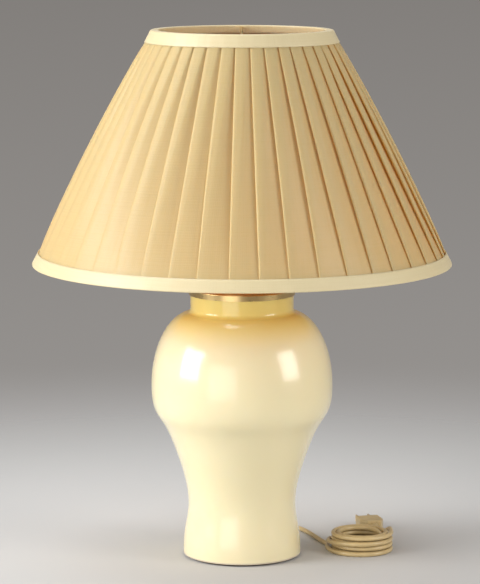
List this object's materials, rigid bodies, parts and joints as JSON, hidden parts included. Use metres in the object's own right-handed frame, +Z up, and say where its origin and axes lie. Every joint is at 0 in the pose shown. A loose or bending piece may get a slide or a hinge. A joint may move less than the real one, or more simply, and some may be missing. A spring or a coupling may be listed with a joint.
{
  "type": "table lamp",
  "caption": "Table lamp with a glazed ginger-jar base, a knife-pleated coolie shade on a harp, a turn-knob socket with a bulb, and its flex gathered in a small coil.",
  "frame": {"origin": "on the table, under the middle of the jar", "axes": "+Z up along the lamp's axis, front of the lamp towards -Y, cord leaves the foot towards +Y, coil of flex towards +X"},
  "size_m": [0.4059, 0.406, 0.512],
  "materials": {
    "glaze": "cream glaze, glossy",
    "felt": "brown wool felt",
    "zinc_steel": "zinc-plated steel",
    "polished_brass": "lacquered brass",
    "card": "pressed card",
    "dark_resin": "moulded phenolic",
    "bulb_aluminium": "rolled thread",
    "bulb_glass": "soft white inside coating",
    "pleated_fabric": "cream knife-pleated cloth, light comes through",
    "shade_backing": "thin translucent backing",
    "ring_wire": "white-coated wire",
    "trim_tape": "woven cream tape",
    "gold_flex": "golden-brown sheath",
    "core_insulation": "thin insulation",
    "plug_plastic": "moulded golden brown"
  },
  "bodies": {
    "lamp_base": {"jar": "glaze", "felt_pad": "felt", "lamp_pipe": "zinc_steel", "plate_washer": "zinc_steel", "lock_washer": "zinc_steel", "bottom_nut": "zinc_steel", "vase_cap": "polished_brass", "neck_spacer": "polished_brass", "harp_saddle": "polished_brass", "harp_bow": "polished_brass", "harp_stud": "polished_brass", "socket_cap": "polished_brass", "set_screw": "zinc_steel", "socket_shell": "polished_brass", "insulating_sleeve": "card", "socket_core": "dark_resin", "terminal_screws": "polished_brass", "screw_shell": "polished_brass", "centre_contact": "polished_brass", "cord_bushing": "gold_flex", "inner_cord": "gold_flex", "core_wires": "core_insulation", "cord_lead": "gold_flex", "cord_coil": "gold_flex", "cord_tail": "gold_flex", "plug_body": "plug_plastic", "plug_blades": "polished_brass"},
    "left_sleeve": {"harp_sleeve_left": "polished_brass"},
    "right_sleeve": {"harp_sleeve_right": "polished_brass"},
    "turn_knob": {"switch_stem": "polished_brass", "switch_knob": "dark_resin"},
    "bulb": {"bulb_cap": "bulb_aluminium", "bulb_base": "dark_resin", "bulb_globe": "bulb_glass"},
    "shade": {"shade_pleats": "pleated_fabric", "shade_liner": "shade_backing", "bottom_ring": "ring_wire", "top_ring": "ring_wire", "shade_spider": "polished_brass", "bottom_trim": "trim_tape", "top_trim": "trim_tape"},
    "finial_nut": {"finial": "polished_brass"}
  },
  "joints": [
    {"name": "knob_turn", "type": "hinge", "parent": "lamp_base", "child": "turn_knob", "pos_m": [0, -0.0184, 0.3105], "axis": [0, -1, 0], "continuous": true},
    {"name": "bulb_unscrew", "type": "hinge", "parent": "lamp_base", "child": "bulb", "pos_m": [0, 0, 0.35], "axis": [0, 0, 1], "range_deg": [0, 900]},
    {"name": "shade_swivel", "type": "hinge", "parent": "lamp_base", "child": "shade", "pos_m": [0, 0, 0.49], "axis": [0, 0, 1], "continuous": true},
    {"name": "finial_turn", "type": "hinge", "parent": "lamp_base", "child": "finial_nut", "pos_m": [0, 0, 0.4917], "axis": [0, 0, 1], "continuous": true},
    {"name": "left_sleeve_lift", "type": "slide", "parent": "lamp_base", "child": "left_sleeve", "axis": [0, 0, 1], "range_m": [0, 0.012]},
    {"name": "right_sleeve_lift", "type": "slide", "parent": "lamp_base", "child": "right_sleeve", "axis": [0, 0, 1], "range_m": [0, 0.012]}
  ]
}
